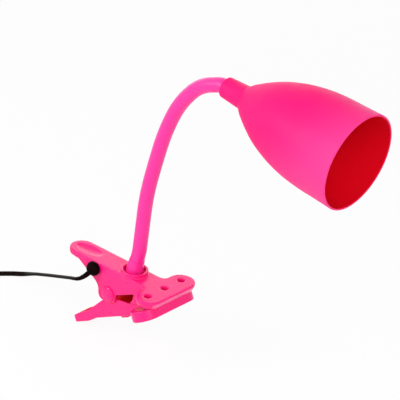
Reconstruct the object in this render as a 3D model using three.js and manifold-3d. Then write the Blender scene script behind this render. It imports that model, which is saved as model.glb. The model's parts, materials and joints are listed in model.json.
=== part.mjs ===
// A clip-on reading lamp: a sprung two-lever clip, a bendable neck, a bell shade over a small-screw
// lampholder, and a flat mains lead with an in-line rocker switch and a flat two-pin plug.
// Millimetres, +Z up, +X towards the mouth of the jaws. The origin is on the upper jaw's gripping
// face, under the middle hole of the jaw, and Y = 0 is the lamp's plane of symmetry.
import * as THREE from 'three';
import { mergeVertices } from 'three/addons/utils/BufferGeometryUtils.js';
import Module from 'manifold-3d';

// Clearances
const gap = 0.3; // between pieces that touch
const lipGap = 0.3; // between the two closed lips
const jointGap = 3.0; // between two links of the neck, so that they can turn

// Jaws and levers
const jawCentreX = 1.5;
const jawRadius = 14;
const jawHalfSpread = 24; // from the lamp's plane to the middle of each round end
const jawThickness = 8;
const jawFillet = 6;
const jawPlate = 3.4; // the jaw's top plate stands out over the slanting edge below it
const jawStep = 0.2;
const jawDraft = 1.9;
const padProud = 0.8; // how far a pad stands out of its jaw
const padDepth = 2; // how deep a pad is let in
const padSetBack = 7.5; // from the lip to the pad's front edge
const padRadius = 8.8;
const jawHoleRadius = 4;
const padHoleRadius = 3;
const jawHoleSpacing = 25;
const leverHalfWidth = 13.4;
const leverWall = 2.4;
const upperEndX = -126.8;
const handleDepth = 5.2;
const hingeX = -62.5;
const hingeZ = -20.5;
const closedAngle = 27.2; // between the two jaws when the lips meet
const lowerSetBack = 5.4; // of the lower lip behind the upper one
const lowerJawRadius = 15.2;
const lowerJawThickness = 10.8;
const lowerArmDepth = 11; // from the plane of the jaw's face to the arm's sole
const lowerHandleDepth = 13.7;
const upperEarRadius = 10.6; // under the hinge
const upperEarReach = 13.9; // behind the hinge
const webX = -28.3; // front of the window between the levers
const webTopZ = -6.3;
const lowerEarRadius = 9;
const lowerLength = 139.4;
const lowerEndCorner = 3.4;
const handleTipX = 58.6; // behind the hinge, where the upper edge of the handle levels off
const handleTipRise = 19.2; // of that edge under the hinge
const soleBreak = 44; // behind the hinge, where the handle's sole begins
const heelDrop = 2.4; // the small block under the lower arm
const dimple = { x: -104, halfLength: 17, halfWidth: 7.5, depth: 1.9 };

// Hinge
const pinRadius = 2;
const capRadius = 8.6;
const capRise = 2.9;
const springWireRadius = 0.9;
const springRadius = 5.2;
const springPitch = 2.15;
const springTurns = 4;
const upperLegReach = 35.5; // from the hinge to the tip of each leg of the spring
const lowerLegReach = 48;

// Neck
const neckX = -42.3;
const neckLean = 10.65;
const seatThickness = 2.6;
const collarHeight = 4.5;
const collarX = -41.2;
const collarRadius = 14.3;
const collarBore = 11.8;
const sleeveRadius = 7.4;
const sleeveBore = 5.7;
const coreRadius = 5.4;
const coreBore = 3.9;
const flexRadius = 2;
const threadRadius = 4.95; // M10
const threadBore = 2.9;
const flangeRadius = 6.9;
const flangeThickness = 2;
const nutRadius = 8;
const nutThickness = 3;
const washerThickness = 1;
const bootFoot = 8.9;
const bootTop = 8.3;
const bootHeight = 20;
const baseArcs = [[26, 0], [8, -8.1]]; // each arc is a length and a turn in degrees
const linkArcs = [[[40, 0]], [[40, 8.7]], [[40, 2.3]], [[40, 9.7]], [[40, 20.2]]];
const headArcs = [[31, 26.6], [12.7, 26.4]];

// Shade and lampholder
const shadeLength = 158.8;
const shadeWall = 2.2;
const mouthRadius = 48;
const shadeCollarRadius = 10.8;
const shadeRootRadius = 11.9; // of the collar where the bell grows out of it
const shadeCollarLength = 24.6;
const shadeWebStart = 14;
const shadeWebThickness = 3;
const bellCurve = [ // shares of the bell's length and of its growth in radius
  [0.047, 0.145], [0.1, 0.275], [0.167, 0.423], [0.249, 0.58], [0.346, 0.719], [0.45, 0.833],
  [0.569, 0.92], [0.703, 0.968], [0.852, 0.982], [1, 1],
];
const neckInsert = 10.4; // how far the sleeve goes into the shade's collar
const holderStart = 21;
const holderLength = 42;
const holderRadius = 14;
const holderFootRadius = 7.8;
const holderBore = 8.4;
const holderFloor = 17; // from the holder's foot to the floor of its bore
const screwSeat = { radius: 1.9, distance: 10.2, height: 20 }; // of a terminal screw in the holder
const centreContact = { length: 12, width: 5, thickness: 0.8 };
const shellRadius = 7.9;
const shellWall = 0.6;
const shellLength = 20;

// Lead: a flat flex, drawn here as a round one of the same room
const cordRadius = 2;
const clampBar = { length: 6, width: 18.8, thickness: 1.8, corner: 2 };
const grommetX = -82.6;
const grommetZ = 1.5;
const grommetRadius = 7.7;
const grommetRise = 9.4;
const snoutLength = 26;
const snoutRadius = 2.6;
const switchSize = { length: 56, width: 25, lower: 8, upper: 8.5, corner: 9 };
const rockerSize = { length: 17, width: 9, rise: 3.2, depth: 4 };
const tailLength = 34; // straight from the switch into the coil
const coilRadius = 30;
const coilWidth = 12;
const coilHeight = 11;
const tieWidth = 4;
const tieThickness = 0.6;
const reliefLength = 22;
const plugBody = { length: 36, width: 35, height: 14 };
const pinSeat = 12; // how deep a pin sits in the plug
const plugPin = { radius: 2, length: 19, spacing: 18.6 };

const wasm = await Module();
wasm.setup();
const rad = THREE.MathUtils.degToRad;

// Small tools

// a closed geometry as a solid for cutting and joining
function solid(geometry) {
  const bare = geometry.clone();
  bare.deleteAttribute('normal');
  bare.deleteAttribute('uv');
  const merged = mergeVertices(bare, 1e-4);
  const triangles = [];
  for (let i = 0; i < merged.index.count; i += 3) {
    const corners = [0, 1, 2].map((k) => merged.index.getX(i + k));
    if (new Set(corners).size === 3) triangles.push(...corners);
  }
  const vertProperties = merged.attributes.position.array;
  const triVerts = new Uint32Array(triangles);
  return new wasm.Manifold(new wasm.Mesh({ numProp: 3, vertProperties, triVerts }));
}

function geometryOf(body) {
  const mesh = body.getMesh();
  const geometry = new THREE.BufferGeometry();
  geometry.setAttribute('position', new THREE.BufferAttribute(mesh.vertProperties, 3));
  geometry.setIndex(new THREE.BufferAttribute(mesh.triVerts, 1));
  return geometry;
}

function cut(body, ...tools) {
  return tools.reduce((left, tool) => left.subtract(solid(tool)), body);
}

function join(body, ...others) {
  return others.reduce((whole, other) => whole.add(solid(other)), body);
}

// a profile of [radius, height] points turned about Z; the profile closes on itself or on the axis
function turned(profile, sides = 24) {
  const points = profile.map(([r, z]) => new THREE.Vector2(r, z));
  return new THREE.LatheGeometry(points, sides).rotateX(Math.PI / 2);
}

function ring(outer, inner, from, to, sides = 24) {
  return turned([[inner, from], [outer, from], [outer, to], [inner, to], [inner, from]], sides);
}

function disc(radius, from, to, sides = 24) {
  return turned([[0, from], [radius, from], [radius, to], [0, to]], sides);
}

function alongY(geometry) {
  return geometry.rotateX(-Math.PI / 2);
}

function box(lengthX, widthY, heightZ, x, y, z) {
  return new THREE.BoxGeometry(lengthX, widthY, heightZ).translate(x, y, z);
}

// a plan outline raised from one height to another
function raised(shape, from, to, curveSegments = 8) {
  const options = { depth: to - from, bevelEnabled: false, curveSegments };
  return new THREE.ExtrudeGeometry(shape, options).translate(0, 0, from);
}

// a side outline, drawn in X and Z, carried across from -halfWidth to halfWidth
function across(shape, halfWidth, curveSegments = 8) {
  const options = { depth: 2 * halfWidth, bevelEnabled: false, curveSegments };
  return new THREE.ExtrudeGeometry(shape, options).rotateX(Math.PI / 2).translate(0, halfWidth, 0);
}

function polygon(points) {
  return new THREE.Shape(points.map(([x, y]) => new THREE.Vector2(x, y)));
}

function circle(radius, inner = 0) {
  const shape = new THREE.Shape().absarc(0, 0, radius, 0, 2 * Math.PI, false);
  if (inner > 0) shape.holes.push(new THREE.Path().absarc(0, 0, inner, 0, 2 * Math.PI, true));
  return shape;
}

function hexagonNut(radius, bore, from, to) {
  const angles = [0, 1, 2, 3, 4, 5].map((k) => k * Math.PI / 3);
  const shape = polygon(angles.map((angle) => [radius * Math.cos(angle), radius * Math.sin(angle)]));
  shape.holes.push(new THREE.Path().absarc(0, 0, bore, 0, 2 * Math.PI, true));
  return raised(shape, from, to, 10);
}

function roundedBox(length, width, height, corner, x, y, z) {
  const [a, b] = [length / 2 - corner, width / 2 - corner];
  const shape = new THREE.Shape();
  shape.absarc(a, b, corner, 0, Math.PI / 2, false);
  shape.absarc(-a, b, corner, Math.PI / 2, Math.PI, false);
  shape.absarc(-a, -b, corner, Math.PI, 1.5 * Math.PI, false);
  shape.absarc(a, -b, corner, 1.5 * Math.PI, 2 * Math.PI, false);
  shape.closePath();
  return raised(shape, z, z + height, 4).translate(x, y, 0);
}

// a path in the XZ plane that leaves the origin along +Z and follows its arcs, in part or whole
class ArcPath extends THREE.Curve {
  constructor(arcs, from = 0, to = arcs.reduce((sum, [length]) => sum + length, 0)) {
    super();
    this.arcs = arcs;
    this.from = from;
    this.to = to;
  }

  at(distance) {
    const end = { x: 0, z: 0, lean: 0 };
    let left = distance;
    for (const [length, turn] of this.arcs) {
      const run = Math.min(left, length);
      const bend = rad(turn) * run / length;
      const chord = turn === 0 ? run : 2 * Math.sin(bend / 2) * length / rad(turn);
      end.x += chord * Math.sin(end.lean + bend / 2);
      end.z += chord * Math.cos(end.lean + bend / 2);
      end.lean += bend;
      left -= run;
    }
    return end;
  }

  getPoint(t) {
    const { x, z } = this.at(this.from + t * (this.to - this.from));
    return new THREE.Vector3(x, 0, z);
  }
}

// part of another curve, between two distances along it
class Stretch extends THREE.Curve {
  constructor(whole, from, to) {
    super();
    this.whole = whole;
    this.from = from / whole.getLength();
    this.to = to / whole.getLength();
  }

  getPoint(t, target) {
    return this.whole.getPointAt(this.from + t * (this.to - this.from), target);
  }
}

function drawnAlong(path, shape, steps, curveSegments) {
  return new THREE.ExtrudeGeometry(shape, { extrudePath: path, steps, curveSegments });
}

function plastic(color, roughness = 0.45) {
  return new THREE.MeshStandardMaterial({ color, roughness, metalness: 0 });
}

function metal(color, roughness = 0.3) {
  return new THREE.MeshStandardMaterial({ color, roughness, metalness: 1 });
}

const pinkPlastic = plastic(0xff3e92);
const sleevePlastic = plastic(0xff5fae, 0.35);
const padRubber = plastic(0xc8586a, 0.8);
const blackPlastic = plastic(0x1c1b1d, 0.35);
const holderPlastic = plastic(0xf2efe6, 0.5);
const steel = metal(0xb9bcc0);
const brass = metal(0xc9a04e);
const tiePlastic = plastic(0xe8e8e6, 0.5);

const lamp = new THREE.Group();

function piece(name, shape, material, parent = lamp) {
  const geometry = shape.isBufferGeometry ? shape : geometryOf(shape);
  const mesh = new THREE.Mesh(geometry, material);
  mesh.name = name;
  parent.add(mesh);
  return mesh;
}

// The two levers

// A lever from above: its handle's end, parallel sides, hollow corners, and the wide jaw.
function leverOutline({ jawX, radius, endX, halfWidth, endCorner, inset = 0 }) {
  const [r, w, f, c] = [radius - inset, halfWidth - inset, jawFillet + inset, endCorner - inset];
  const [rear, end] = [jawX - r, endX + inset];
  const shape = new THREE.Shape();
  shape.absarc(jawX, jawHalfSpread, r, 0, Math.PI, false);
  shape.absarc(rear - f, w + f, f, 0, -Math.PI / 2, true);
  shape.absarc(end + c, w - c, c, Math.PI / 2, Math.PI, false);
  shape.absarc(end + c, c - w, c, Math.PI, 1.5 * Math.PI, false);
  shape.absarc(rear - f, -w - f, f, Math.PI / 2, 0, true);
  shape.absarc(jawX, -jawHalfSpread, r, Math.PI, 2 * Math.PI, false);
  shape.closePath();
  return shape;
}

function padOutline(lip, inset = 0) {
  const [x, r] = [lip - padSetBack - padRadius, padRadius - inset];
  const shape = new THREE.Shape();
  shape.absarc(x, jawHalfSpread, r, 0, Math.PI, false);
  shape.absarc(x, -jawHalfSpread, r, Math.PI, 2 * Math.PI, false);
  shape.closePath();
  return shape;
}

const rimZ = padProud; // the upper jaw's rim, above the pad's face
const plateTop = rimZ + jawThickness;
const lipX = jawCentreX + jawRadius;
const jawRearX = jawCentreX - jawRadius;
const jawHoles = [-jawHoleSpacing, 0, jawHoleSpacing];
const holeCutters = (radius, from, to) => (
  jawHoles.map((y) => disc(radius, from, to, 16).translate(0, y, 0))
);
const tall = 200; // more than any lever's height or width
const screwY = 6.4;
const clampX = -71;
const seatZ = plateTop - leverWall - gap; // top of the cup floor that the neck stands on

// copies of a geometry on the axes of the cord clamp's two screws
function atScrews(geometry) {
  return [-screwY, screwY].map((y) => geometry.clone().translate(clampX, y, 0));
}

// the upper lever's plan, its jaw stepped in and slanting inwards below the top plate
function upperPlan(outline) {
  const plateFoot = plateTop - jawPlate;
  const slant = { bevelThickness: plateFoot - rimZ, bevelSize: jawDraft, bevelSegments: 1 };
  const options = { ...slant, depth: tall, curveSegments: 8 };
  const stepped = leverOutline({ ...outline, inset: jawStep + jawDraft });
  const edge = new THREE.ExtrudeGeometry(stepped, options).translate(0, 0, plateFoot);
  const behindJaw = box(tall, tall, 2 * tall, jawRearX - 1 - tall / 2, 0, 0);
  const full = solid(raised(leverOutline(outline), -tall, tall));
  const plate = solid(box(2 * tall, tall, tall, 0, 0, plateFoot + tall / 2));
  return full.intersect(plate.add(solid(behindJaw)).add(solid(edge)));
}

function upperLever() {
  const outline = {
    jawX: jawCentreX, radius: jawRadius, endX: upperEndX, halfWidth: leverHalfWidth,
    endCorner: leverHalfWidth,
  };
  // back along the top, down round the handle to the ear about the hinge, and forward to the jaw
  const side = new THREE.Shape();
  side.moveTo(lipX, plateTop);
  side.lineTo(upperEndX - 1, plateTop);
  side.lineTo(upperEndX - 1, plateTop - handleDepth);
  side.lineTo(hingeX - 43.5, plateTop - handleDepth - 1.6);
  side.lineTo(hingeX - 26.5, hingeZ + 12.3);
  side.lineTo(hingeX - 18.3, hingeZ + 7.3);
  side.quadraticCurveTo(hingeX - upperEarReach, hingeZ + 3.5, hingeX - upperEarReach, hingeZ - 2);
  side.quadraticCurveTo(hingeX - upperEarReach, hingeZ - 8.2, hingeX - 8.2, hingeZ - 10);
  side.absarc(hingeX, hingeZ, upperEarRadius, rad(250), rad(330), false);
  side.lineTo(hingeX + 10, hingeZ + 2.6);
  // the web between the window and the jaw
  side.lineTo(webX, webTopZ);
  side.lineTo(webX - 1.4, webTopZ - 7.2);
  side.lineTo(webX - 4.6, webTopZ - 11.8);
  side.lineTo(webX + 5.6, webTopZ - 9.6);
  side.lineTo(webX + 7.1, webTopZ - 6.2);
  side.lineTo(jawRearX, rimZ);
  side.lineTo(lipX, rimZ);
  side.closePath();
  const outer = solid(across(side, tall)).intersect(upperPlan(outline));
  const hollow = leverOutline({ ...outline, inset: leverWall });
  const room = solid(raised(hollow, -tall, plateTop - leverWall))
    .subtract(solid(box(jawRadius * 2 + 2, tall, tall, jawCentreX + 1, 0, 0)));
  let lever = outer.subtract(room);
  // cup and collar for the neck, with the cup's floor square to the leaning neck
  const cupFoot = seatZ - seatThickness;
  const cup = disc(collarRadius, cupFoot, plateTop + collarHeight, 28).translate(collarX, 0, 0);
  const cupDepth = plateTop - cupFoot;
  const walls = box(2 * collarRadius, 2 * leverHalfWidth, cupDepth, collarX, 0, cupFoot + cupDepth / 2);
  const below = solid(cup).intersect(solid(walls));
  const above = ring(collarRadius, collarBore, plateTop - leverWall, plateTop + collarHeight, 28);
  lever = lever.add(below).add(solid(above.translate(collarX, 0, 0)));
  const bore = disc(collarBore, 0, tall, 28).translate(collarX, 0, seatZ + 1.2);
  const well = leaning(disc(flangeRadius + 3, 0, tall, 24));
  const hole = leaning(disc(threadRadius + 0.5, -tall, tall, 20));
  const nutSeat = leaning(disc(nutRadius + 1, -20, -seatThickness, 20));
  lever = cut(lever, bore, well, hole, nutSeat);
  // hinge holes, cord hole, jaw holes, pad recess and thumb dimple
  const pinHole = alongY(disc(pinRadius + gap, -tall, tall, 16)).translate(hingeX, 0, hingeZ);
  const cordHole = alongY(disc(4.1, 0, tall, 16)).translate(grommetX, -tall, grommetZ);
  const recess = raised(padOutline(lipX), -tall, rimZ + padDepth);
  lever = cut(lever, pinHole, cordHole, recess, ...holeCutters(jawHoleRadius, -tall, tall));
  const dish = new THREE.SphereGeometry(1, 20, 12);
  dish.scale(dimple.halfLength, dimple.halfWidth, dimple.depth).translate(dimple.x, 0, plateTop);
  lever = cut(lever, dish);
  // two posts inside for the cord clamp's screws
  const post = disc(3, clampZ + flexRadius, plateTop - 1, 12);
  const pilot = disc(1.6, -tall, plateTop - leverWall + 1, 12);
  return cut(join(lever, ...atScrews(post)), ...atScrews(pilot));
}

// The neck's own frame stands on the cup's floor and leans forward.
const neck = new THREE.Group();
neck.position.set(neckX, 0, seatZ);
neck.rotation.y = rad(neckLean);
lamp.add(neck);

function leaning(geometry) {
  neck.updateMatrix();
  return geometry.applyMatrix4(neck.matrix);
}

const clampZ = plateTop - leverWall - gap - flexRadius; // middle of the flex under the lever's top

piece('upper_lever', upperLever(), pinkPlastic);

const upperPad = solid(raised(padOutline(lipX, gap), 0, rimZ + padDepth - gap));
piece('upper_jaw_pad', cut(upperPad, ...holeCutters(padHoleRadius, -1, tall)), padRubber);

// The lower lever's own frame: origin at its lip, X along the jaw's face, Z out of that face.
const lower = new THREE.Group();
lower.position.set(lipX - lowerSetBack, 0, rimZ - lipGap);
lower.rotation.y = -rad(closedAngle);
lamp.add(lower);
lower.updateMatrix();
const hingeLower = new THREE.Vector3(hingeX, 0, hingeZ).applyMatrix4(lower.matrix.clone().invert());
const lowerHalfWidth = leverHalfWidth - leverWall - gap;
const jawSole = -lowerJawThickness;
const armSole = -lowerArmDepth;
const handleSole = -lowerHandleDepth;

function lowerLever() {
  const outline = {
    jawX: -lowerJawRadius, radius: lowerJawRadius, endX: -lowerLength, halfWidth: lowerHalfWidth,
    endCorner: lowerEndCorner,
  };
  const ear = [hingeLower.x, hingeLower.z];
  const jawRear = -2 * lowerJawRadius;
  const side = new THREE.Shape();
  side.moveTo(0, jawSole);
  side.lineTo(0, 0);
  side.lineTo(jawRear, 0);
  side.lineTo(ear[0] + 23.5, 1.7);
  side.absarc(...ear, lowerEarRadius, rad(-53), rad(215), false);
  side.lineTo(ear[0] - 16.5, ear[1] - 7.4);
  side.lineTo(ear[0] - 41, ear[1] - 16.8);
  side.lineTo(ear[0] - handleTipX, ear[1] - handleTipRise);
  side.lineTo(-lowerLength - 1, ear[1] - handleTipRise - 2);
  side.lineTo(-lowerLength - 1, handleSole);
  side.lineTo(ear[0] - soleBreak, handleSole);
  side.lineTo(ear[0] - 30.5, armSole);
  side.lineTo(jawRear - 12, armSole);
  side.lineTo(jawRear, jawSole);
  side.closePath();
  const outer = solid(across(side, tall)).intersect(solid(raised(leverOutline(outline), -tall, tall)));
  const heelZ = armSole + (1 - heelDrop) / 2;
  const heel = box(9.5, 2 * lowerHalfWidth - 4, heelDrop + 1, ear[0] + 9.2, 0, heelZ);
  // the channel's room keeps a floor over the sole
  const floor = polygon([
    [jawRear, jawSole + leverWall], [jawRear, tall], [-tall, tall], [-tall, handleSole + leverWall],
    [ear[0] - soleBreak, handleSole + leverWall], [ear[0] - 30.5, armSole + leverWall],
    [jawRear - 12, armSole + leverWall],
  ]);
  const hollow = solid(raised(leverOutline({ ...outline, inset: leverWall }), -tall, tall));
  const room = solid(across(floor, tall)).intersect(hollow);
  const pinHole = alongY(disc(pinRadius + gap, -tall, tall, 16)).translate(ear[0], 0, ear[1]);
  const recess = raised(padOutline(0), -padDepth, tall);
  return cut(join(outer.subtract(room), heel), pinHole, recess);
}

piece('lower_lever', lowerLever(), pinkPlastic, lower);
piece('lower_jaw_pad', raised(padOutline(0, gap), -padDepth + gap, padProud), padRubber, lower);

// The hinge

const hinge = new THREE.Group();
hinge.position.set(hingeX, 0, hingeZ);
lamp.add(hinge);
const pinHalfLength = leverHalfWidth + gap + 1.6;
piece('hinge_pin', alongY(disc(pinRadius, -pinHalfLength, pinHalfLength, 16)), steel, hinge);

for (const [name, side] of [['hinge_cap_right', -1], ['hinge_cap_left', 1]]) {
  const bore = pinRadius + gap;
  const profile = [
    [bore, 0], [capRadius, 0], [capRadius, 0.7], [capRadius - 0.7, 1.5], [capRadius - 3, 2.3],
    [capRadius / 3, capRise - 0.1], [0, capRise], [0, 2], [bore, 2], [bore, 0],
  ];
  const cap = turned(profile, 24).rotateX(side < 0 ? Math.PI / 2 : -Math.PI / 2);
  piece(name, cap.translate(0, side * (leverHalfWidth + gap), 0), pinkPlastic, hinge);
}

// A torsion spring round the pin: one leg under the upper handle, one on the lower handle's floor.
function torsionSpring() {
  const reach = springWireRadius + gap;
  const upperTip = new THREE.Vector2(-upperLegReach, plateTop - leverWall - reach - hingeZ);
  const onFloor = new THREE.Vector3(hingeLower.x - lowerLegReach, 0, handleSole + leverWall + reach);
  onFloor.applyMatrix4(lower.matrix);
  const lowerTip = new THREE.Vector2(onFloor.x - hingeX, onFloor.z - hingeZ);
  const upperAngle = upperTip.angle() - Math.acos(springRadius / upperTip.length());
  const lowerAngle = lowerTip.angle() + Math.acos(springRadius / lowerTip.length()) - 2 * Math.PI;
  const turn = upperAngle + 2 * Math.PI * springTurns - lowerAngle;
  const width = springPitch * turn / (2 * Math.PI);
  const points = [];
  // the straight legs run from the coil's tangent points to their tips
  const onCoil = (angle, y) => (
    new THREE.Vector3(springRadius * Math.cos(angle), y, springRadius * Math.sin(angle))
  );
  const start = onCoil(lowerAngle, -width / 2);
  const tip = new THREE.Vector3(lowerTip.x, -width / 2, lowerTip.y);
  for (const share of [1, 0.7, 0.4, 0.15]) points.push(start.clone().lerp(tip, share));
  const steps = Math.round(12 * turn / (2 * Math.PI));
  for (let i = 0; i <= steps; i += 1) {
    points.push(onCoil(lowerAngle + turn * i / steps, -width / 2 + width * i / steps));
  }
  const finish = points.at(-1);
  const upperEnd = new THREE.Vector3(upperTip.x, width / 2, upperTip.y);
  for (const share of [0.15, 0.4, 0.7, 1]) points.push(finish.clone().lerp(upperEnd, share));
  const path = new THREE.CatmullRomCurve3(points, false, 'centripetal');
  return drawnAlong(path, circle(springWireRadius), 66, 3);
}

piece('torsion_spring', torsionSpring(), steel, hinge);

// The neck

const lastBaseArc = baseArcs.reduce((sum, [length]) => sum + length, 0);
const flangeTop = gap + flangeThickness;
const coreStart = flangeTop + gap;

function ferrule(threadFrom, threadTo, flangeFrom) {
  const flangeTo = flangeFrom + flangeThickness;
  const profile = [
    [threadBore, threadFrom], [threadRadius, threadFrom], [threadRadius, flangeFrom],
    [flangeRadius, flangeFrom], [flangeRadius, flangeTo], [threadRadius, flangeTo],
    [threadRadius, threadTo], [threadBore, threadTo], [threadBore, threadFrom],
  ];
  const repeats = ([r, z], i) => i > 0 && r === profile[i - 1][0] && z === profile[i - 1][1];
  return turned(profile.filter((point, i) => !repeats(point, i)), 20);
}

const nutTop = -seatThickness - gap - washerThickness - gap;
piece('base_ferrule', ferrule(nutTop - nutThickness - 1.5, flangeTop, gap), brass, neck);
const washerTop = -seatThickness - gap;
const washer = ring(nutRadius, threadRadius + gap, washerTop - washerThickness, washerTop, 20);
piece('base_washer', washer, steel, neck);
piece('base_nut', hexagonNut(nutRadius, threadRadius + gap, nutTop - nutThickness, nutTop), steel, neck);

const bootBore = sleeveRadius + gap;
const bootStart = 0.6;
const bootProfile = [
  [bootBore, bootStart], [bootFoot, bootStart], [bootFoot - 0.2, bootHeight * 0.45],
  [bootTop, bootHeight], [bootBore, bootHeight], [bootBore, bootStart],
];
piece('neck_boot', turned(bootProfile, 24), sleevePlastic, neck);

// One link of the neck: its sleeve, the coil under it and the flex in the middle.
function neckLink(index, arcs, from, to, parent, ends = [from, to]) {
  const bends = arcs.some(([, turn]) => turn !== 0);
  const turns = arcs.reduce((sum, [, turn]) => sum + Math.abs(turn), 0);
  const steps = bends ? Math.max(2, Math.ceil(turns / 8)) : 1;
  const path = new ArcPath(arcs, from, to);
  const sleeve = drawnAlong(path, circle(sleeveRadius, sleeveBore), steps, 8);
  const core = drawnAlong(path, circle(coreRadius, coreBore), steps, 5);
  const flex = drawnAlong(new ArcPath(arcs, ...ends), circle(flexRadius), steps, 4);
  piece(`neck_sleeve_${index}`, sleeve, sleevePlastic, parent);
  piece(`neck_coil_${index}`, core, steel, parent);
  piece(`neck_flex_${index}`, flex, blackPlastic, parent);
}

// the group at the far end of a stretch of neck, turned to carry on along it
function nextGroup(arcs, parent) {
  const path = new ArcPath(arcs);
  const end = path.at(path.to);
  const group = new THREE.Group();
  group.position.set(end.x, 0, end.z);
  group.rotation.y = end.lean;
  parent.add(group);
  return group;
}

const half = jointGap / 2;
const flexStart = nutTop - nutThickness - 2;
neckLink(0, baseArcs, coreStart, lastBaseArc - half, neck);
let link = nextGroup(baseArcs, neck);
link.name = 'joint_0';
linkArcs.forEach((arcs, i) => {
  const length = arcs.reduce((sum, [run]) => sum + run, 0);
  neckLink(i + 1, arcs, half, length - half, link);
  link = nextGroup(arcs, link);
  link.name = `joint_${i + 1}`;
});

// The head

const headLength = headArcs.reduce((sum, [run]) => sum + run, 0);
const insertArcs = [...headArcs, [neckInsert, 0]];
neckLink(linkArcs.length + 1, insertArcs, half, headLength + neckInsert, link);
const head = nextGroup(headArcs, link); // at the open end of the shade's collar, Z along the shade
head.name = 'head';

function shade() {
  const bell = bellCurve.map(([share, growth]) => [
    shadeRootRadius + growth * (mouthRadius - shadeRootRadius),
    shadeCollarLength + share * (shadeLength - shadeCollarLength),
  ]);
  const collar = [[shadeCollarRadius - 1.2, 0], [shadeCollarRadius - 0.3, 0.5], [shadeCollarRadius, 1.6]];
  const bore = sleeveRadius + 0.4;
  const webEnd = shadeWebStart + shadeWebThickness;
  const inner = bell.map(([r, z]) => [r - shadeWall, z]).reverse();
  const root = shadeRootRadius - shadeWall;
  const profile = [
    [bore, 0], ...collar, [shadeRootRadius, shadeCollarLength], ...bell, ...inner,
    [root, shadeCollarLength + 1.2], [root, webEnd], [threadRadius + gap, webEnd],
    [threadRadius + gap, shadeWebStart], [bore, shadeWebStart], [bore, 0],
  ];
  return turned(profile, 32);
}

piece('shade', shade(), pinkPlastic, head);

const topFlange = shadeWebStart - gap - flangeThickness;
const holderThread = 9;
piece('top_ferrule', ferrule(topFlange, holderStart + holderThread - 1, topFlange), brass, head);
const lockStart = shadeWebStart + shadeWebThickness + gap;
const locknut = hexagonNut(nutRadius, threadRadius + gap, lockStart, lockStart + nutThickness);
piece('shade_locknut', locknut, steel, head);

const holderEnd = holderStart + holderLength;
const boreFloor = holderStart + holderFloor;
const screwHeight = holderStart + screwSeat.height;

function lampholder() {
  const [foot, full] = [holderFootRadius, holderRadius];
  const profile = [
    [threadRadius + gap, holderStart], [foot, holderStart], [foot + 1, holderStart + 6],
    [full - 1, holderStart + 13], [full, holderStart + 15], [full, holderEnd - 1], [full - 1, holderEnd],
    [holderBore, holderEnd],
    [holderBore, boreFloor], [threadBore, boreFloor], [threadBore, holderStart + holderThread],
    [threadRadius + gap, holderStart + holderThread], [threadRadius + gap, holderStart],
  ];
  const seats = [-1, 1].map((side) => {
    const seat = disc(screwSeat.radius, 0, 8, 12).rotateY(Math.PI / 2 * side);
    return seat.translate(side * screwSeat.distance, 0, screwHeight);
  });
  return cut(solid(turned(profile, 24)), ...seats);
}

piece('lampholder_body', lampholder(), holderPlastic, head);
const shellStart = holderEnd - 1.5 - shellLength;
const shell = ring(shellRadius, shellRadius - shellWall, shellStart, shellStart + shellLength, 24);
piece('lampholder_shell', shell, brass, head);
const { length: contactLength, width: contactWidth, thickness: contactThickness } = centreContact;
const contactZ = boreFloor + gap + contactThickness / 2;
piece('centre_contact', box(contactLength, contactWidth, contactThickness, 0, 0, contactZ), brass, head);
for (const [name, s] of [['terminal_screw_a', -1], ['terminal_screw_b', 1]]) {
  const screw = disc(screwSeat.radius - gap, 0, 2.6, 12).rotateY(Math.PI / 2 * s);
  piece(name, screw.translate(s * (screwSeat.distance + gap), 0, screwHeight), brass, head);
}

// The lead inside the clip

const flexRoute = [
  [grommetX, -9.4, grommetZ], [grommetX + 1.4, -6.5, grommetZ + 0.3], [grommetX + 4.4, -3.2, 2.4],
  [clampX - 3, -0.6, clampZ], [clampX, 0, clampZ], [clampX + 4, 0, clampZ - 0.4], [-60, 0, -1.2],
  [-55.5, 0, -7], [-51.5, 0, -11.6], [-48, 0, -12.6], [-45.6, 0, -10.4],
];
const flexPoints = flexRoute.map(([x, y, z]) => new THREE.Vector3(x, y, z));
const ferruleFoot = new THREE.Vector3(0, 0, flexStart).applyMatrix4(neck.matrix);
flexPoints.push(ferruleFoot);
const insideLead = new THREE.CatmullRomCurve3(flexPoints, false, 'centripetal');
piece('clip_flex', drawnAlong(insideLead, circle(flexRadius), 24, 4), blackPlastic);

const clampTop = clampZ - flexRadius - gap;
const clampFoot = clampTop - clampBar.thickness;
const { length: barLength, width: barWidth, thickness: barThickness, corner: barCorner } = clampBar;
const bar = roundedBox(barLength, barWidth, barThickness, barCorner, clampX, 0, clampFoot);
piece('cord_clamp', cut(solid(bar), ...atScrews(disc(1.6, -tall, tall, 12))), blackPlastic);
const headTop = clampFoot - gap;
const screwTop = plateTop - leverWall;
const screwProfile = [
  [0, headTop - 1.6], [2.6, headTop - 1.6], [2.6, headTop], [1.3, headTop], [1.3, screwTop], [0, screwTop],
];
const clampScrew = turned(screwProfile, 12);
atScrews(clampScrew).forEach((screw, i) => piece(`clamp_screw_${'ab'[i]}`, screw, steel));

// The lead outside

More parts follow.
